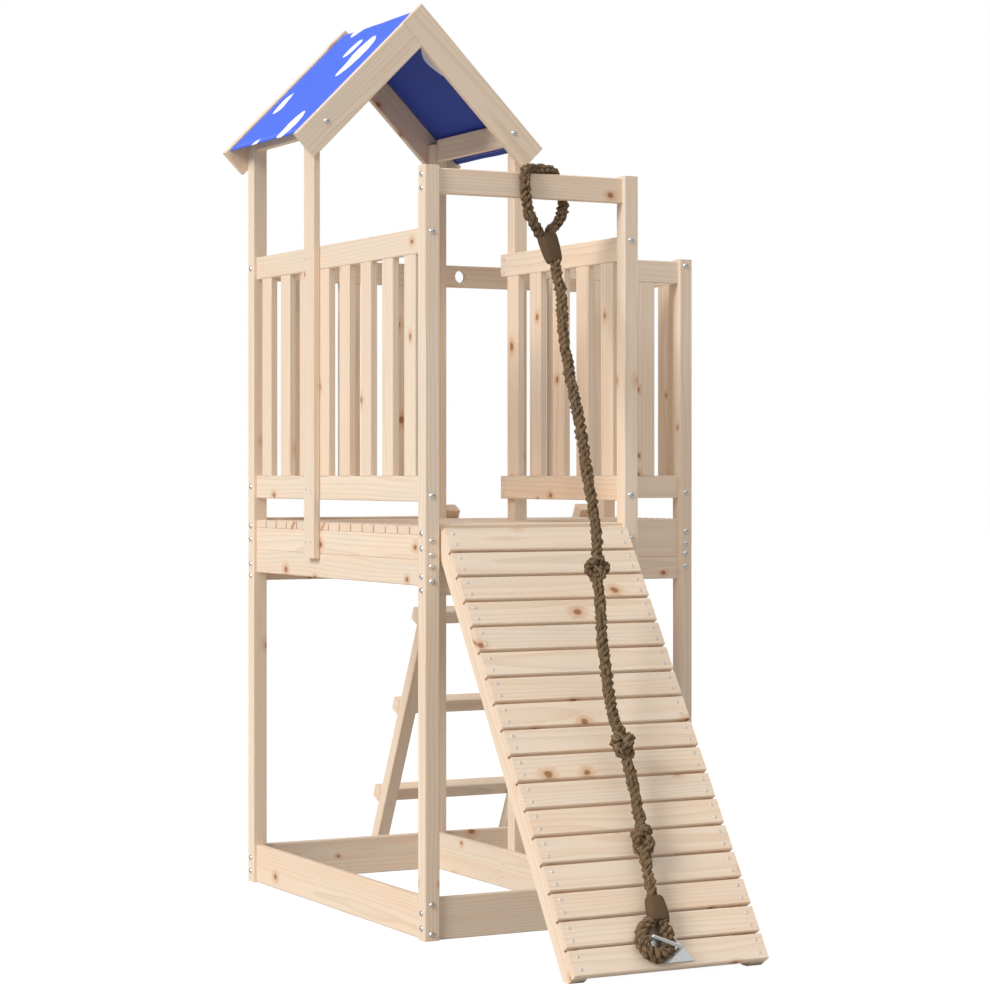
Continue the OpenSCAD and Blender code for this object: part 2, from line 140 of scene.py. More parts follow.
def finishMaterial(wire, colour, rough, height=None, strength=0.3, depth=0.001, **fixed):
    inputs = {"Base Color": colour, "Roughness": rough}
    if height is not None:
        inputs["Normal"] = wire.node("Bump", None, {"Strength": strength, "Distance": depth, "Height": height})
    inputs.update({key.replace("_", " "): value for key, value in fixed.items()})
    surface = wire.node("BsdfPrincipled", None, inputs)
    wire.node("OutputMaterial", None, {"Surface": surface})


studio = {"ambient": 0.31, "tint": (1.0, 0.99, 0.975), "lampsAway": 6, "lamps": {
    "key": {"from": (-0.83, -0.22, 0.515), "power": 2.36, "soft": 24},
    "top": {"from": (0.0, -0.25, 0.97), "power": 1.08, "soft": 90},
    "back": {"from": (0.6, 0.7, 0.38), "power": 0.7, "soft": 90}}}
floorLook = {"lift": 0.8, "glow": 1.2, "greys": (0.545, 0.565), "rough": 0.9, "half": 30, "drop": 0.0006}


def addStudio():
    world = bpy.data.worlds.new("studio")
    scene.world = world
    world.use_nodes = True
    world.node_tree.nodes.clear()
    wire = Wire(world.node_tree)
    around = wire.node("Background", None, {"Color": (1, 1, 1, 1), "Strength": studio["ambient"]})
    behind = wire.node("Background", None, {"Color": (1, 1, 1, 1), "Strength": 1.0})
    seen = wire.node("LightPath", out="Is Camera Ray")
    wire.node("OutputWorld", None, {"Surface": wire.node("MixShader", None, {0: seen, 1: around, 2: behind})})

    for name, look in studio["lamps"].items():
        light = bpy.data.lights.new(name, "SUN")
        light.energy, light.angle, light.color = look["power"], math.radians(look["soft"]), studio["tint"]
        lamp = bpy.data.objects.new(name, light)
        lamp.rotation_euler = Vector(look["from"]).to_track_quat("Z", "Y").to_euler()
        lamp.location = Vector(look["from"]) * studio["lampsAway"]
        scene.collection.objects.link(lamp)

    mat, wire = newMaterial("floorPale")
    soft = wire.cloud(wire.node("TexCoord", out="Object"), 3.0)
    dark, pale = [(grey, grey, grey) for grey in floorLook["greys"]]
    matte = wire.node("BsdfPrincipled", None,
                      {"Base Color": soft.between(dark, pale), "Roughness": floorLook["rough"]})
    glow = wire.node("Emission", None, {"Strength": floorLook["glow"]})
    lift = wire.node("LightPath", out="Is Camera Ray") * floorLook["lift"]
    wire.node("OutputMaterial", None, {"Surface": wire.node("MixShader", None, {0: lift, 1: matte, 2: glow})})
    bm = bmesh.new()
    bmesh.ops.create_grid(bm, x_segments=2, y_segments=2, size=floorLook["half"])
    bmesh.ops.translate(bm, verts=bm.verts, vec=(0, 0, -floorLook["drop"]))
    mesh = bpy.data.meshes.new("floor")
    bm.to_mesh(mesh)
    bm.free()
    mesh.materials.append(mat)
    floor = bpy.data.objects.new("floor", mesh)
    scene.collection.objects.link(floor)
    scene.view_settings.view_transform = "Standard"


addCamera()
addStudio()
print("camera and studio set")


def addPiece(name, bm, mat):
    mesh = bpy.data.meshes.new(name)
    bm.to_mesh(mesh)
    bm.free()
    mesh.polygons.foreach_set("use_smooth", [True] * len(mesh.polygons))
    mesh.materials.append(mat)
    piece = bpy.data.objects.new(name, mesh)
    scene.collection.objects.link(piece)
    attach(piece, "root")
    return piece


# rope: one length with an eye at each end, sleeves and knots

# rope tones: the crown colour is a painted lit top of the yarns, the flank colour is painted shade between yarns, and
# the crease colour is painted shade in the creases between strands
ropeLook = {"crown": (0.25, 0.164, 0.093), "flankShade": (0.162, 0.102, 0.055), "creaseShade": (0.040, 0.023, 0.013),
            "worn": (0.34, 0.235, 0.142), "yarn": 0.011, "yarnLean": 9.0, "hair": 700, "patch": 70,
            "creaseFrom": 0.55, "creaseFull": 0.02}


def ropeMaterial():
    mat, wire = newMaterial("ropeFibre")
    high, side, along = wire.node("Attribute", {"attribute_name": "lay"}, out="Vector").split()
    place = wire.node("TexCoord", out="Object")
    yarns = (side * ropeLook["yarnLean"] + along * (2 * math.pi / ropeLook["yarn"])).calc("SINE") * 0.5 + 0.5
    hair = wire.cloud(place, ropeLook["hair"], 3.0, 0.65)
    patch = wire.cloud(place, ropeLook["patch"], 2.0)
    # painted shade: deep darkens the creases between strands towards the crease colour, using the height on the
    # strand that layRope stores in lay
    deep = high.rise(ropeLook["creaseFrom"], ropeLook["creaseFull"])
    # painted light and shade, mixed with real fibre tone: the yarn stripes run from the painted lit crown colour to
    # painted shade in the flank colour between yarns, and the hair noise adds random fibre tone
    tone = (yarns * 0.6 + hair * 0.7 - 0.2).between(ropeLook["flankShade"], ropeLook["crown"])
    tone = (patch.rise(0.5, 0.75) * 0.5).between(tone, ropeLook["worn"])
    tone = (deep * 0.7).between(tone, ropeLook["creaseShade"])
    finishMaterial(wire, tone, 0.82 + hair * 0.12, yarns * 0.8 + hair * 0.9, 0.9, 0.0018,
                   Specular_IOR_Level=0.2)
    return mat


def smoothLine(points, step, cuts=20):  # through all the points, with a new point at each step
    ends = [points[0] * 2 - points[1], *points, points[-1] * 2 - points[-2]]
    fine = []
    for a, b, c, d in zip(ends, ends[1:], ends[2:], ends[3:]):
        for k in range(cuts):
            t = k / cuts
            fine.append((b * 2 + (c - a) * t + (a * 2 - b * 5 + c * 4 - d) * t ** 2
                         + (b * 3 - a - c * 3 + d) * t ** 3) / 2)
    fine.append(points[-1])
    line, gone = [fine[0]], 0.0
    for a, b in zip(fine, fine[1:]):
        gone += (b - a).length
        if gone >= step:
            line.append(b)
            gone = 0.0
    return line


# three laid strands in a rope of radius 1: a strand's middle, the squares of its radius and middle, the least reach
strand = {"middle": 0.536, "radius2": 0.2153, "middle2": 0.2873, "least": 0.6, "yarnShare": 0.16, "yarnLean": 5}


def twist(angle, run, pitch):  # reach from the rope's middle, height on the yarn, angle from the strand's crown
    off = ((angle / math.pi - 2 * run / pitch) * 1.5 + 0.5) % 1 - 0.5
    away = off * 2 * math.pi / 3
    inner = max(0.0, strand["radius2"] - strand["middle2"] * math.sin(away) ** 2)
    reach = strand["middle"] * math.cos(away) + math.sqrt(inner)
    yarn = 0.5 + 0.5 * math.cos(2 * math.pi * run / (pitch * strand["yarnShare"]) + strand["yarnLean"] * away)
    return max(reach, strand["least"]), yarn, away


sleeveSize = {"width": 0.046, "thick": 0.027, "sides": 32, "lip": 0.0025, "lipDepth": 0.003, "margin": 0.04,
              # at the eye, then at the rope
              "ends": [((308, 17, 1548), (321, 0, 1483)), ((251, -563.5, 108), (253, -537, 155))],
              # share of the length from the middle, share of the width
              "rings": [(-0.5, 0.66), (-0.48, 0.76), (-0.43, 0.85), (-0.3, 0.94), (0.0, 1.02), (0.3, 1.06),
                        (0.43, 1.02), (0.48, 0.95), (0.5, 0.84)]}


def inSleeve(p):
    margin, reach = sleeveSize["margin"], sleeveSize["width"] / 2
    for top, low in sleeveSize["ends"]:
        a, b = fromCorner(*top), fromCorner(*low)
        t = (p - a).dot(b - a) / (b - a).length_squared
        if margin < t < 1 - margin and (a + (b - a) * t - p).length < reach:
            return True
    return False


# shares of the radius, drift in metres, rates per metre; free and pressed: most reach outside and in a sleeve
lay = {"lump": 0.07, "lumpRate": 45, "drift": 0.004, "driftRate": 20, "yarnRate": 70,
       "fray": ((0.38, 110), (0.16, 280)), "core": 0.44, "strand": 0.37, "yarn": 0.20, "free": 1.22, "pressed": 0.84}


def layRope(bm, line, radius, pitch, sides, seed, swell=None):
    mark = bm.verts.layers.float_vector.get("lay") or bm.verts.layers.float_vector.new("lay")
    verts = bmesh.ops.create_circle(bm, segments=sides, radius=radius)["verts"]
    for v in verts:
        v[mark] = (v.co.x, v.co.y, 0)
    edges = list(dict.fromkeys(e for v in verts for e in v.link_edges))
    first, last, run, rings = edges, Matrix.Identity(4), 0.0, []
    side = Vector((0.3, 0.9, 0.2))
    for i, p in enumerate(line):
        ahead = (line[min(i + 1, len(line) - 1)] - line[max(i - 1, 0)]).normalized()
        side = (side - ahead * side.dot(ahead)).normalized()
        run += (p - line[i - 1]).length if i else 0.0
        now = Matrix.Translation(p) @ Matrix((side, ahead.cross(side), ahead)).transposed().to_4x4()
        if i:
            grown = bmesh.ops.extrude_edge_only(bm, edges=edges)["geom"]
            verts = [g for g in grown if isinstance(g, bmesh.types.BMVert)]
            edges = [g for g in grown if isinstance(g, bmesh.types.BMEdge) and g.is_boundary]
        bmesh.ops.transform(bm, matrix=now @ last.inverted(), verts=verts)
        rings.append((p, run, verts))
        last = now
    for p, run, verts in rings:
        lump = 1 + lay["lump"] * noise.noise(Vector((run * lay["lumpRate"], seed, 0.5)))
        lump += swell(run) if swell else 0.0
        limit = lay["pressed"] if inSleeve(p) else lay["free"]
        drift = lay["drift"] * noise.noise(Vector((run * lay["driftRate"], seed, 4.5)))
        for v in verts:
            reach, yarn, away = twist(math.atan2(v[mark].y, v[mark].x), run + drift, pitch)
            yarn *= 0.7 + 0.8 * noise.noise(v.co * lay["yarnRate"])
            fray = sum(share * noise.noise(v.co * rate) for share, rate in lay["fray"])
            full = lay["core"] + lay["strand"] * reach + lay["yarn"] * yarn + fray
            v.co = p + (v.co - p) * min(limit, lump * full)
            # the first value is the height on the strand, which the rope material turns into painted crease shade
            # where it is low
            v[mark] = (0.7 * reach - 0.24 + 0.5 * yarn + 1.1 * fray, away, run)
    for loop in (first, edges):
        bmesh.ops.edgeloop_fill(bm, edges=loop)


rope = {"diameter": 0.023, "full": 0.0134, "pitch": 0.045, "step": 0.0017, "sides": 44, "knots": (10, 15, 17),
        "eyeSwell": 0.22, "eyeRun": 0.27, "eyeFade": 0.04,
        "sway": (0, 1, 2, -10, -12, -7, -2, -1, 4, 7, 0, -4, -11, -12, -12, 0, 5, 0, -3, 0)}  # sideways, mm
ropeRun = [(319, 5, 1505), (319, -10, 1460), (313, -42, 1400), (308, -80, 1320), (306, -112, 1240),
           (303, -137, 1170), (301, -160, 1100), (298, -182, 1030), (295, -204, 955), (292, -224, 885),
           (289, -244, 812), (286, -270, 735), (283, -297, 655), (280, -324, 580), (277, -353, 510),
           (274, -382, 448), (270, -425, 355), (265, -475, 263), (259, -513, 192), (253, -544, 138)]
topEye = [(306, 11, 1522), (290, 12, 1546), (268, 3, 1570), (254, -2, 1592), (249, -2.8, 1612), (245, -2.8, 1636),
          (244, -2.8, 1664), (248, -1.8, 1684), (262, 11, 1689.4), (290, 18, 1689.4), (320, 25, 1689.4),
          (338, 37.8, 1684), (350, 38.8, 1662), (360, 38.8, 1634), (362, 35.8, 1610), (355, 30, 1593),
          (342, 24, 1574), (320, 18, 1552)]
lowEye = [(243, 124, 26), (240, 101, 24), (228, 91, 21), (215, 80, 18), (205, 67, 17), (201, 53, 17),
          (205, 38, 17), (215, 27, 17), (232, 22, 17), (247, 26, 17), (258, 37, 17), (263, 53, 17), (262, 69, 18),
          (259, 85, 21), (260, 99, 24)]  # on the ramp


def eyeSwell(run):  # the lower eye is worn thicker
    return rope["eyeSwell"] * max(0.0, min(1.0, (rope["eyeRun"] - run) / rope["eyeFade"]))


def addRope(mat):
    hang = [fromCorner(x + sway, y, z) for (x, y, z), sway in zip(ropeRun, rope["sway"])]
    route = [onRamp(*p) for p in lowEye] + hang[::-1] + [fromCorner(*p) for p in topEye[::-1]]
    line = smoothLine(route, rope["step"])
    bm = bmesh.new()
    layRope(bm, line, rope["full"], rope["pitch"], rope["sides"], 1.0, eyeSwell)
    bmesh.ops.recalc_face_normals(bm, faces=bm.faces)
    return addPiece("rope_line", bm, mat), line


knot = {"wide": 0.0060, "deep": 0.0130, "tall": 0.0078, "cuts": 96, "step": 0.0019, "full": 0.0120, "pitch": 0.045,
        "sides": 38, "spin": 0.5, "spinMore": 1.9}


def knotLine(middle, along, spin):  # overhand knot drawn tight round the rope
    side = Vector((1, 0, 0))
    side = (side - along * side.dot(along)).normalized()
    turn = Matrix((side, along.cross(side), along)).transposed() @ Matrix.Rotation(spin, 3, "Z")
    loop = []
    for k in range(knot["cuts"] + 1):
        t = 2 * math.pi * k / knot["cuts"]
        x = knot["wide"] * (math.sin(t) + 2 * math.sin(2 * t))
        z = knot["tall"] * (math.cos(t) - 2 * math.cos(2 * t))
        loop.append(middle + turn @ Vector((x, -knot["deep"] * math.sin(3 * t), z)))
    return loop


def addKnots(mat):
    bm = bmesh.new()
    for n, at in enumerate(rope["knots"]):
        a, b, c = [fromCorner(*ropeRun[at + k]) for k in (-1, 0, 1)]
        loop = knotLine(b, (a - c).normalized(), knot["spin"] + knot["spinMore"] * n)
        layRope(bm, smoothLine(loop, knot["step"]), knot["full"], knot["pitch"], knot["sides"], 3.0 + n)
    bmesh.ops.recalc_face_normals(bm, faces=bm.faces)
    return addPiece("rope_knots_tied", bm, mat)


sleeveLook = {"dark": (0.092, 0.055, 0.029), "pale": (0.150, 0.093, 0.052), "rubbed": (0.17, 0.110, 0.066),
              "grain": 420, "rub": 45}


def sleeveMaterial():
    mat, wire = newMaterial("ropeSleeve")
    place = wire.node("TexCoord", out="Object")
    grain = wire.cloud(place, sleeveLook["grain"], 3.0, 0.6)
    rub = wire.cloud(place, sleeveLook["rub"], 2.0)
    tone = (grain * 0.8).between(sleeveLook["dark"], sleeveLook["pale"])
    tone = (rub.rise(0.5, 0.8) * 0.3).between(tone, sleeveLook["rubbed"])
    finishMaterial(wire, tone, 0.70 + grain * 0.15, grain, 0.35, 0.0006, Specular_IOR_Level=0.2)
    return mat


def addSleeves(mat):
    bm = bmesh.new()
    half = (sleeveSize["width"] - sleeveSize["thick"]) / 2
    rings = sleeveSize["rings"]
    for top, low in sleeveSize["ends"]:
        top, low = fromCorner(*top), fromCorner(*low)
        length, up = (top - low).length, (top - low).normalized()
        wide = (Vector((1, 0, 0)) - up * up.x).normalized()
        turn = Matrix.Translation((top + low) / 2) @ Matrix((wide, up.cross(wide), up)).transposed().to_4x4()
        start = len(bm.verts)
        verts = bmesh.ops.create_circle(bm, segments=sleeveSize["sides"], radius=sleeveSize["thick"] / 2)["verts"]
        for v in verts:
            v.co.x += math.copysign(half, v.co.x) if abs(v.co.x) > 1e-6 else 0
        edges = list(dict.fromkeys(e for v in verts for e in v.link_edges))
        bmesh.ops.translate(bm, verts=verts, vec=(0, 0, rings[0][0] * length))
        bmesh.ops.scale(bm, verts=verts, vec=(rings[0][1], rings[0][1], 1))
        ends = [edges]
        for (z0, k0), (z1, k1) in zip(rings, rings[1:]):
            grown = bmesh.ops.extrude_edge_only(bm, edges=edges)["geom"]
            verts = [g for g in grown if isinstance(g, bmesh.types.BMVert)]
            edges = [g for g in grown if isinstance(g, bmesh.types.BMEdge) and g.is_boundary]
            bmesh.ops.translate(bm, verts=verts, vec=(0, 0, (z1 - z0) * length))
            bmesh.ops.scale(bm, verts=verts, vec=(k1 / k0, k1 / k0, 1))
        ends.append(edges)
        for loop in ends:  # rolled-in mouth round the rope
            face = bmesh.ops.edgeloop_fill(bm, edges=loop)["faces"]
            bmesh.ops.inset_region(bm, faces=face, thickness=sleeveSize["lip"], depth=-sleeveSize["lipDepth"])
        bm.verts.ensure_lookup_table()
        bmesh.ops.transform(bm, matrix=turn, verts=bm.verts[start:])
    bmesh.ops.recalc_face_normals(bm, faces=bm.faces)
    return addPiece("rope_sleeves_pressed", bm, mat)


fibre = ropeMaterial()
ropePiece, ropeLine = addRope(fibre)
knots = addKnots(fibre)
sleeves = addSleeves(sleeveMaterial())
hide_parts("rope", "rope_eyes")
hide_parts("rope_knots")
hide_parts("rope_sleeves")
ropeLength = sum((b - a).length for a, b in zip(ropeLine, ropeLine[1:]))
print("rope:", round(ropeLength, 3), "m")


# canopy: one sheet over both slopes

canopy = {"ridge": (268, 2130.4), "front": 578, "back": 1000, "run": 315, "soft": 3, "sag": 3, "hem": 15.5,
          "thick": 0.002, "held": 259, "flapFrom": 262, "flap": 61, "dip": 2.5, "ruck": 2.2, "flutter": 2.4,
          "ridgeSoft": 30, "hemRise": 0.5, "cells": (64, 30), "hemCells": (0, 4, 9)}
canopySides = {
    "canopyTop": {"blue": (0.064, 0.156, 0.80), "deep": (0.052, 0.132, 0.75), "white": (0.93, 0.94, 0.95)},
    "canopyUnder": {"blue": (0.026, 0.066, 0.42), "deep": (0.020, 0.052, 0.35), "white": (0.74, 0.77, 0.82)}}
cloth = {"thread": 0.0021, "seam": 0.0125, "stitch": 0.006, "patchRate": (5.4, 9.2), "patchStart": (7.9, 4.2),
         "patchLeast": 0.18, "patchMore": 0.22, "bare": 0.45, "edge": 0.012, "stir": (0.075, 0.05, 0)}


def hemStops(length, count):
    inner = [canopy["hem"] + 1 + (length - 2 * canopy["hem"] - 2) * k / count for k in range(count + 1)]
    edge = [*canopy["hemCells"], canopy["hem"] - 1]
    return edge + inner + [length - e for e in reversed(edge)]


def canopyMaterial(name):
    look = canopySides[name]
    mat, wire = newMaterial(name)
    across, along, _ = wire.node("UVMap", {"uv_map": "cloth"}).split()
    flat = wire.join(across, along, 0.0)
    stir = wire.cloud(flat, 9.0, 2.0).also("Color")
    push = wire.node("VectorMath", {"operation": "MULTIPLY_ADD"}, {0: stir, 1: cloth["stir"], 2: flat})
    px, py, _ = push.split()
    (rateX, rateY), (startX, startY) = cloth["patchRate"], cloth["patchStart"]
    spread = wire.join(px * rateX + startX, py * rateY + startY, 0.0)
    puffs = wire.node("TexVoronoi", {"voronoi_dimensions": "2D", "feature": "F1"},
                      {"Vector": spread, "Scale": 1.0, "Randomness": 0.85})
    lot = wire.node("SeparateColor", None, {0: puffs.also("Color")})
    size = lot * cloth["patchMore"] + cloth["patchLeast"]
    there = lot.also("Green").calc("GREATER_THAN", cloth["bare"])
    patch = puffs.rise(size + cloth["edge"], size - cloth["edge"]) * there
    warp, weft = [(way * (2 * math.pi / cloth["thread"])).calc("SINE") for way in (across, along)]
    weave = warp * weft * 0.5 + 0.5
    length, depth = 2 * canopy["run"] * math.sqrt(2) / 1000, (canopy["back"] - canopy["front"]) / 1000
    rim = across.calc("MINIMUM", length - across).calc("MINIMUM", along.calc("MINIMUM", depth - along))
    seam = (rim - cloth["seam"]).calc("ABSOLUTE").rise(0.0013, 0.0006)
    beat = ((across + along) * (2 * math.pi / cloth["stitch"])).calc("SINE")
    stitch = seam * beat.rise(-0.3, 0.2)
    fade = wire.cloud(flat, 5.0, 3.0)
    tone = (fade * 0.7 + weave * 0.25).between(look["deep"], look["blue"])
    tone = patch.between(tone, look["white"])
    tone = (stitch * 0.3).between(tone, look["white"])
    finishMaterial(wire, tone, 0.6 + weave * 0.15, weave * 0.5 + stitch * 1.5 + fade * 0.6, 0.25, 0.0008,
                   Specular_IOR_Level=0.35)
    return mat


def addCanopy():
    long = canopy["run"] * math.sqrt(2)
    deep = canopy["back"] - canopy["front"]
    acrossStops, alongStops = [hemStops(*side) for side in zip((2 * long, deep), canopy["cells"])]
    nx, ny = len(acrossStops) - 1, len(alongStops) - 1
    bm = bmesh.new()
    uv = bm.loops.layers.uv.new("cloth")
    bmesh.ops.create_grid(bm, x_segments=nx, y_segments=ny, size=0.5)
    spot = {}
    for v in bm.verts:
        s = acrossStops[round((v.co.x + 0.5) * nx)]
        y = alongStops[round((v.co.y + 0.5) * ny)]
        spot[v.index] = (s, y)
        x = (s - long) / math.sqrt(2)
        z = -math.hypot(x, canopy["soft"])
        t, back = min(1.0, abs(x) / canopy["held"]), y / deep
        held = math.sin(math.pi * back) ** 0.6 if 0 < back < 1 else 0
        drop = canopy["sag"] * 4 * t * (1 - t) * held + canopy["dip"] * (1 - t) ** 8 * held
        drop += canopy["ruck"] * held * noise.noise(Vector((s * 0.008, y * 0.011, 2.7))) * (1 - t ** 4)
        loose = max(0.0, abs(x) - canopy["flapFrom"])
        flutter = canopy["flutter"] * noise.noise(Vector((s * 0.004, y * 0.016, 7.1))) * loose / canopy["flap"] * held
        rim = min(s, 2 * long - s, y, deep - y)
        lift = (canopy["hemRise"] if rim < canopy["hem"] else 0.0) - drop + flutter
        lean = math.copysign(min(1.0, abs(x) / canopy["ridgeSoft"]), x) / math.sqrt(2)
        v.co = fromCorner(canopy["ridge"][0] + x + lift * lean, canopy["front"] + y,
                          canopy["ridge"][1] + z + lift / math.sqrt(2))
    for face in bm.faces:
        for loop in face.loops:
            s, y = spot[loop.vert.index]
            loop[uv].uv = (s / 1000, y / 1000)
    sheet = addPiece("canopy_sheet", bm, canopyMaterial("canopyTop"))
    sheet.data.materials.append(canopyMaterial("canopyUnder"))
    wall = sheet.modifiers.new("thickness", "SOLIDIFY")
    wall.thickness, wall.offset, wall.use_even_offset, wall.material_offset = canopy["thick"], 0.0, True, 1
    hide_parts("canopy")


addCanopy()
print("canopy laid")


# timber: growth rings round a pith outside each board, with knots

pine = {"pale": (0.86, 0.715, 0.565), "pink": (0.825, 0.645, 0.49), "grey": (0.765, 0.665, 0.55),
        "late": (0.62, 0.41, 0.255), "streak": (0.77, 0.54, 0.37), "halo": (0.66, 0.365, 0.185),
        "knot": (0.32, 0.14, 0.066), "ring": 0.0068, "rough": 0.56, "wander": 0.026, "bulge": 0.007,
        "pithWide": 0.10, "pithDeep": 0.06, "pithNear": 0.022}
knotLook = {"along": 8.0, "across": 10.5, "bend": (0.09, 0.09, 0), "least": 0.045, "more": 0.06, "bare": 0.73,
            "halo": 2.8}
lotSpread = (40.0, 9.0, 5.0)  # how far apart two boards' grain is taken


def pineMaterial(name, place, along, across, pitch, seed):
    mat, wire = newMaterial("pine." + name)
    turn = Matrix((along, across, along.cross(across))).transposed().to_euler()
    where = wire.node("Mapping", {"vector_type": "TEXTURE"},
                      {"Vector": wire.node("TexCoord", out="Object"), "Location": place, "Rotation": turn})
    a, w, t = where.split()
    if pitch:
        board = (w / pitch).calc("FLOOR")
        lot = wire.node("SeparateColor", None,
                        {0: wire.node("TexWhiteNoise", {"noise_dimensions": "1D"}, {"W": board + seed}, out="Color")})
        one, two, three = lot, lot.also("Green"), lot.also("Blue")
        w = w - (board + 0.5) * pitch
    else:
        one, two, three = [0.5 + 0.5 * math.sin(seed * k) for k in (12.9, 78.2, 37.7)]
    farA, farW, farT = lotSpread
    grain = wire.join(a + one * farA, w + two * farW, t + three * farT)

    def stretched(x, y, z, detail, rough=0.5):
        scaled = wire.node("VectorMath", {"operation": "MULTIPLY"}, {0: grain, 1: (x, y, z)})
        return wire.cloud(scaled, 1.0, detail, rough)

    net = wire.join((a + one * farA) * knotLook["along"], (w + t + two * farW) * knotLook["across"], 0.0)
    bent = wire.node("VectorMath", {"operation": "MULTIPLY_ADD"},
                     {0: stretched(18.0, 60.0, 60.0, 1.0).also("Color"), 1: knotLook["bend"], 2: net})
    knots = wire.node("TexVoronoi", {"voronoi_dimensions": "2D", "feature": "F1"},
                      {"Vector": bent, "Scale": 1.0, "Randomness": 1.0})
    fate = wire.node("SeparateColor", None, {0: knots.also("Color")})
    size = fate * knotLook["more"] + knotLook["least"]
    there = fate.also("Green").calc("GREATER_THAN", knotLook["bare"])
    core = knots.rise(size, size * 0.5) * there
    halo = knots.rise(size * knotLook["halo"], size * 0.6) * there

    wander = stretched(1.5, 7.0, 7.0, 2.0)
    dw = w - (one - 0.5) * pine["pithWide"]
    dt = t - (two * pine["pithDeep"] + pine["pithNear"])
    radius = (dw * dw + dt * dt) ** 0.5 + wander * pine["wander"] + halo * pine["bulge"]
    ring = (radius * (1 / pine["ring"])).calc("FRACT")
    late = (ring ** 2.6) * ring.rise(1.0, 0.9)
    fibre = stretched(16.0, 1000.0, 1000.0, 2.0, 0.6)
    streak = stretched(1.4, 48.0, 48.0, 3.0)
    blush = stretched(2.2, 15.0, 15.0, 2.0)

    tone = (blush.rise(0.35, 0.7) * 0.55 + three * 0.7 - 0.15).between(pine["pale"], pine["pink"])
    tone = (blush.rise(0.55, 0.3) * 0.5 + one * 0.4 - 0.1).between(tone, pine["grey"])
    tone = (late * 0.44).between(tone, pine["late"])
    tone = (streak.rise(0.5, 0.75) * 0.4).between(tone, pine["streak"])
    tone = (fibre.rise(0.4, 0.8) * 0.16).between(tone, pine["late"])
    tone = (halo * 0.65).between(tone, pine["halo"])
    tone = (core * 0.9).between(tone, pine["knot"])
    facing = wire.node("VectorMath", {"operation": "DOT_PRODUCT"},
                       {0: wire.node("NewGeometry", out="Normal"), 1: along}, out="Value")
    sawn = facing.calc("ABSOLUTE").rise(0.8, 0.95)  # end grain
    tone = (sawn * 0.2).between(tone, pine["streak"])
    height = fibre * 0.5 - late * 0.5 + core * 0.6
    finishMaterial(wire, tone, fibre * 0.16 + pine["rough"] - late * 0.08, height, 0.3, 0.0006,
                   Specular_IOR_Level=0.3)
    return mat


def grainOf(name):  # along the longest side, then across the next
    low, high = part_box(name)
    order = sorted(range(3), key=lambda k: low[k] - high[k])
    axes = [Vector([float(k == n) for k in range(3)]) for n in order[:2]]
    return (low + high) / 2, axes[0], axes[1]


xAxis, yAxis, zAxis = Vector((1, 0, 0)), Vector((0, 1, 0)), Vector((0, 0, 1))
upRamp = Vector((0, math.cos(rampFrame["angle"]), math.sin(rampFrame["angle"])))
upLadder = Vector((0, -math.sin(ladderFrame["lean"]), math.cos(ladderFrame["lean"])))
downRight, downLeft = Vector((1, 0, -1)).normalized(), Vector((-1, 0, -1)).normalized()
boardRows = {  # node: along, across, boards in the row
    "tower_planks": (xAxis, yAxis, 15), "balcony_planks": (xAxis, yAxis, 6),
    "slats_left": (zAxis, yAxis, 8), "slats_inner": (zAxis, yAxis, 5), "slats_balcony_right": (zAxis, yAxis, 3),
    "slats_back": (zAxis, xAxis, 3), "slats_balcony_front": (zAxis, xAxis, 3),
    "deck_beam_left": (yAxis, zAxis, 2), "deck_beam_middle": (yAxis, zAxis, 2),
    "deck_beam_right": (yAxis, zAxis, 2)}
leaning = {  # node: along, across
    "rafter_front_left": (downLeft, downRight), "rafter_front_right": (downRight, downLeft),
    "rafter_back_left": (downLeft, downRight), "rafter_back_right": (downRight, downLeft),
    "ramp_stringer_left": (upRamp, xAxis), "ramp_stringer_right": (upRamp, xAxis),
    "ladder_stringer_left": (upLadder, xAxis), "ladder_stringer_right": (upLadder, xAxis)}
headerRow = {"pitch": 0.1, "below": 0.044}  # two stacked boards
notTimber = {"canopy", "rope", "rope_eyes", "rope_sleeves", "rope_knots", "rope_anchor", "bolts"}


def dress(name, mat):
    slots = nodes[name].data.materials
    slots.clear()
    slots.append(mat)


def dressTimber():
    for n, name in enumerate(sorted(set(nodes) - notTimber)):
        place, along, across = grainOf(name)
        pitch, seed = 0.0, 1.37 * n + 0.6
        low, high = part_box(name)
        if name in boardRows:
            along, across, count = boardRows[name]
            pitch = abs((high - low).dot(across)) / count * 1.0001
            place = place - across * (pitch * count / 2)
        elif name in leaning:
            along, across = leaning[name]
        elif name == "ramp_planks":
            along, across, pitch, place = xAxis, upRamp, rampFrame["pitch"] / 1000, onRamp(250, -3, 0)
        elif name == "ladder_rungs":
            along, across, pitch = xAxis, upLadder, ladderFrame["rungPitch"] / 1000
            lowest = ladderFrame["length"] - ladderFrame["firstRung"] - 3 * ladderFrame["rungPitch"]
            place = onLadder(760, 18, lowest + 119)
        elif name.startswith("header"):
            along, across, pitch = xAxis, zAxis, headerRow["pitch"]
            place = Vector((place.x, place.y, low.z - headerRow["below"]))
        dress(name, pineMaterial(name, place, along, across, pitch, seed))


dressTimber()
print("timber dressed")


# steel: bolts, anchor and screws

steelLook = {
    "zincSteel": {"bright": (0.70, 0.70, 0.69), "dull": (0.56, 0.56, 0.555), "metal": 0.95, "rough": 0.18},
    "anchorSteel": {"bright": (0.66, 0.675, 0.68), "dull": (0.53, 0.545, 0.55), "metal": 0.9, "rough": 0.22},
    "screwSteel": {"bright": (0.76, 0.69, 0.64), "dull": (0.60, 0.54, 0.50), "metal": 0.35, "rough": 0.34}}


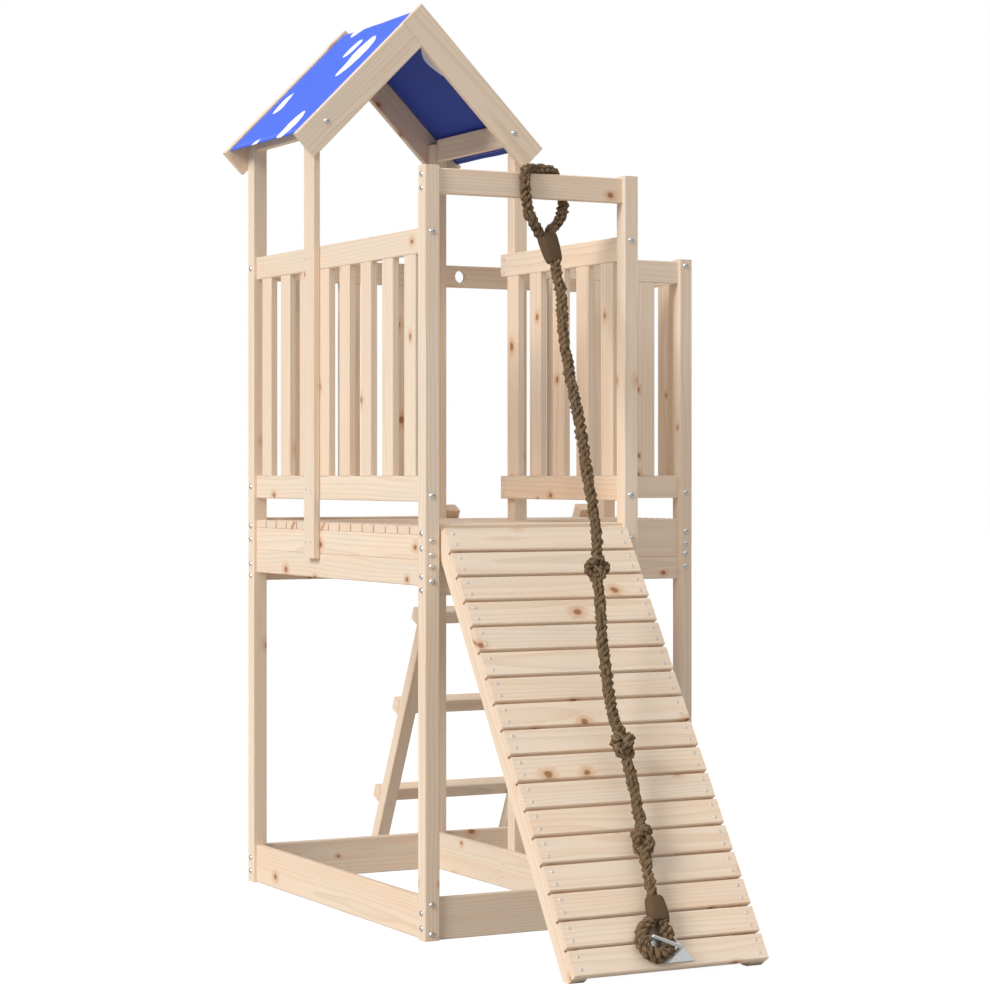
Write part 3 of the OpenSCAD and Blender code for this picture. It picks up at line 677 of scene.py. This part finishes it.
def steelMaterial(name):
    look = steelLook[name]
    mat, wire = newMaterial(name)
    place = wire.node("TexCoord", out="Object")
    spangle = wire.cloud(place, 480, 2.0, 0.5)
    finishMaterial(wire, spangle.rise(0.3, 0.75).between(look["bright"], look["dull"]),
                   spangle * 0.12 + look["rough"], spangle, 0.04, 0.0003, Metallic=look["metal"])
    return mat


screw = {"radius": 0.0042, "high": 0.0012, "steps": 8, "inset": 18, "boardMiddle": 28, "pair": (-14, 14)}
deckRows = [(15, 36, 62.286, (18, 512)), (6, 614, 58.8, (524, 1019))]  # planks, start, pitch, screws across
deckTop = 899


def screwSpots():
    spots, middle, pair = [], screw["boardMiddle"], screw["pair"]
    outRamp = Vector((0, -math.sin(rampFrame["angle"]), math.cos(rampFrame["angle"])))
    outLadder = Vector((0, -math.cos(ladderFrame["lean"]), -math.sin(ladderFrame["lean"])))
    left, right = rampFrame["left"] + screw["inset"], rampFrame["left"] + rampFrame["width"] - screw["inset"]
    for i in range(rampFrame["planks"]):
        for x in (left, right):
            for d in pair:
                spots.append((onRamp(x, i * rampFrame["pitch"] + middle + d, 0), outRamp))
    for count, start, pitch, ends in deckRows:
        for i in range(count):
            for x in ends:
                for d in pair:
                    spots.append((fromCorner(x, start + i * pitch + middle + d, deckTop), zAxis))
    for z in (1523, 978, 853):  # left upright on the rails and the beam
        for d in (-14.5, 14.5):
            spots.append((fromCorner(-9, 606 + d, z), -xAxis))
    for z in (1523, 981):  # inner rails on the middle post
        for d in (-16, 16):
            spots.append((fromCorner(509, 596, z + d), -xAxis))
    for z in (28, 60):  # inner ground board
        spots.append((fromCorner(509, 600, z), -xAxis))
    for x, out in ((27, xAxis), (509, -xAxis)):  # eave beams, from inside
        for y in (596, 950):
            spots.append((fromCorner(x, y, 1844), out))
    for k in range(3):  # rungs
        up = ladderFrame["length"] - ladderFrame["firstRung"] - ladderFrame["rungPitch"] * k - 18
        for x in (565, 958):
            spots.append((onLadder(x, -36, up), outLadder))
    return spots


def addScrews(mat):
    r, h = screw["radius"], screw["high"]
    one = bmesh.new()
    profile = [(r, -0.0004), (r, 0.0003), (r * 0.72, h * 0.85), (r * 0.36, h), (r * 0.3, h * 0.4), (0, h * 0.3)]
    verts = [one.verts.new((x, 0, z)) for x, z in profile]
    edges = [one.edges.new(pair) for pair in zip(verts, verts[1:])]
    bmesh.ops.spin(one, geom=verts + edges, cent=(0, 0, 0), axis=(0, 0, 1), dvec=(0, 0, 0), angle=2 * math.pi,
                   steps=screw["steps"], use_merge=True)
    bmesh.ops.remove_doubles(one, verts=one.verts, dist=1e-6)
    bmesh.ops.recalc_face_normals(one, faces=one.faces)
    head = bpy.data.meshes.new("screwHead")
    one.to_mesh(head)
    one.free()
    bm = bmesh.new()
    for place, out in screwSpots():
        start = len(bm.verts)
        bm.from_mesh(head)
        bm.verts.ensure_lookup_table()
        turn = out.to_track_quat("Z", "Y").to_matrix().to_4x4()
        bmesh.ops.transform(bm, matrix=Matrix.Translation(place) @ turn, verts=bm.verts[start:])
    bpy.data.meshes.remove(head)
    return addPiece("screws", bm, mat)


dress("bolts", steelMaterial("zincSteel"))
dress("rope_anchor", steelMaterial("anchorSteel"))
addScrews(steelMaterial("screwSteel"))
print("steel dressed")
